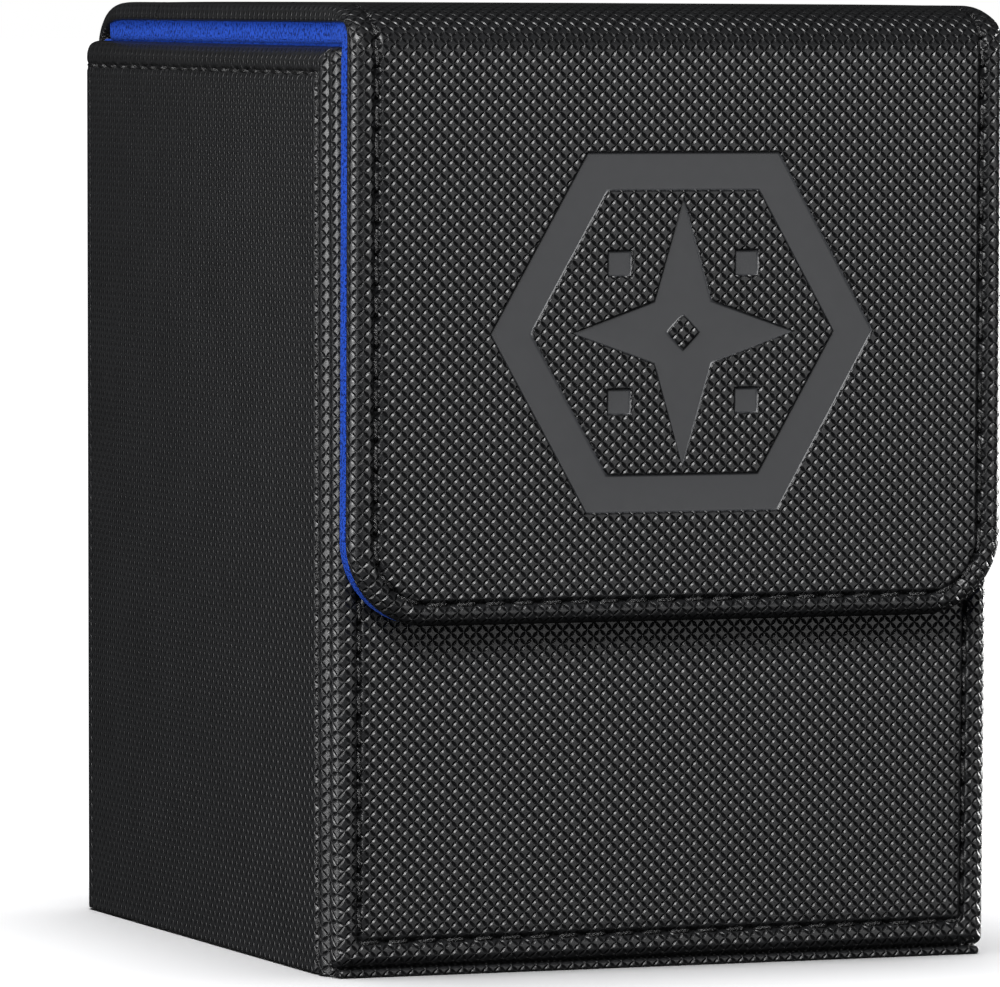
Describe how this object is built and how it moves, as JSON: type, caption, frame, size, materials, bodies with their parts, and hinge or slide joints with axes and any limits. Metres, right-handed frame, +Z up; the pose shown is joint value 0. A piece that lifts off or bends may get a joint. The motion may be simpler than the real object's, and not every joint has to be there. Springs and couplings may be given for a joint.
{
  "type": "card deck box",
  "caption": "Rigid leather-covered box for a deck of trading cards, with a suede lining and a one-piece wrap forming the back, the hinged lid and a magnetic front flap.",
  "frame": {"origin": "middle of the closed box's footprint, on the surface it stands on", "axes": "+X across the width to the right, the front flap faces -Y, +Z up"},
  "size_m": [0.0754, 0.0828, 0.1003],
  "materials": {
    "black_leather": "diamond-embossed faux leather, satin",
    "blue_suede": "short-napped microfibre suede",
    "greyboard": "raw pressed greyboard",
    "thread": "waxed polyester thread, slightly glossy",
    "magnet": "nickel-plated disc magnet"
  },
  "bodies": {
    "box": {"base_board": "greyboard", "base_cover": "black_leather", "left_board": "greyboard", "left_cover": "black_leather", "right_board": "greyboard", "right_cover": "black_leather", "front_board": "greyboard", "front_cover": "black_leather", "back_board": "greyboard", "back_cover": "black_leather", "left_lining": "blue_suede", "right_lining": "blue_suede", "front_lining": "blue_suede", "back_lining": "blue_suede", "floor_lining": "blue_suede", "box_magnets": "magnet", "front_stitching": "thread", "left_stitching": "thread", "right_stitching": "thread", "back_stitching": "thread", "rear_fold": "black_leather", "rear_fold_lining": "blue_suede"},
    "lid": {"lid_board": "greyboard", "lid_cover": "black_leather", "lid_lining": "blue_suede", "lid_stitching": "thread", "front_fold": "black_leather", "front_fold_lining": "blue_suede"},
    "flap": {"flap_board": "greyboard", "flap_cover": "black_leather", "flap_lining": "blue_suede", "flap_magnets": "magnet", "flap_stitching": "thread"}
  },
  "joints": [
    {"name": "lid_hinge", "type": "hinge", "parent": "box", "child": "lid", "pos_m": [0, 0.04002, 0.099], "axis": [-1, 0, 0], "range_deg": [0, 175], "deforming": ["rear_fold", "rear_fold_lining"]},
    {"name": "flap_hinge", "type": "hinge", "parent": "lid", "child": "flap", "pos_m": [0, -0.04002, 0.099], "axis": [-1, 0, 0], "range_deg": [0, 175], "deforming": ["front_fold", "front_fold_lining"]}
  ]
}
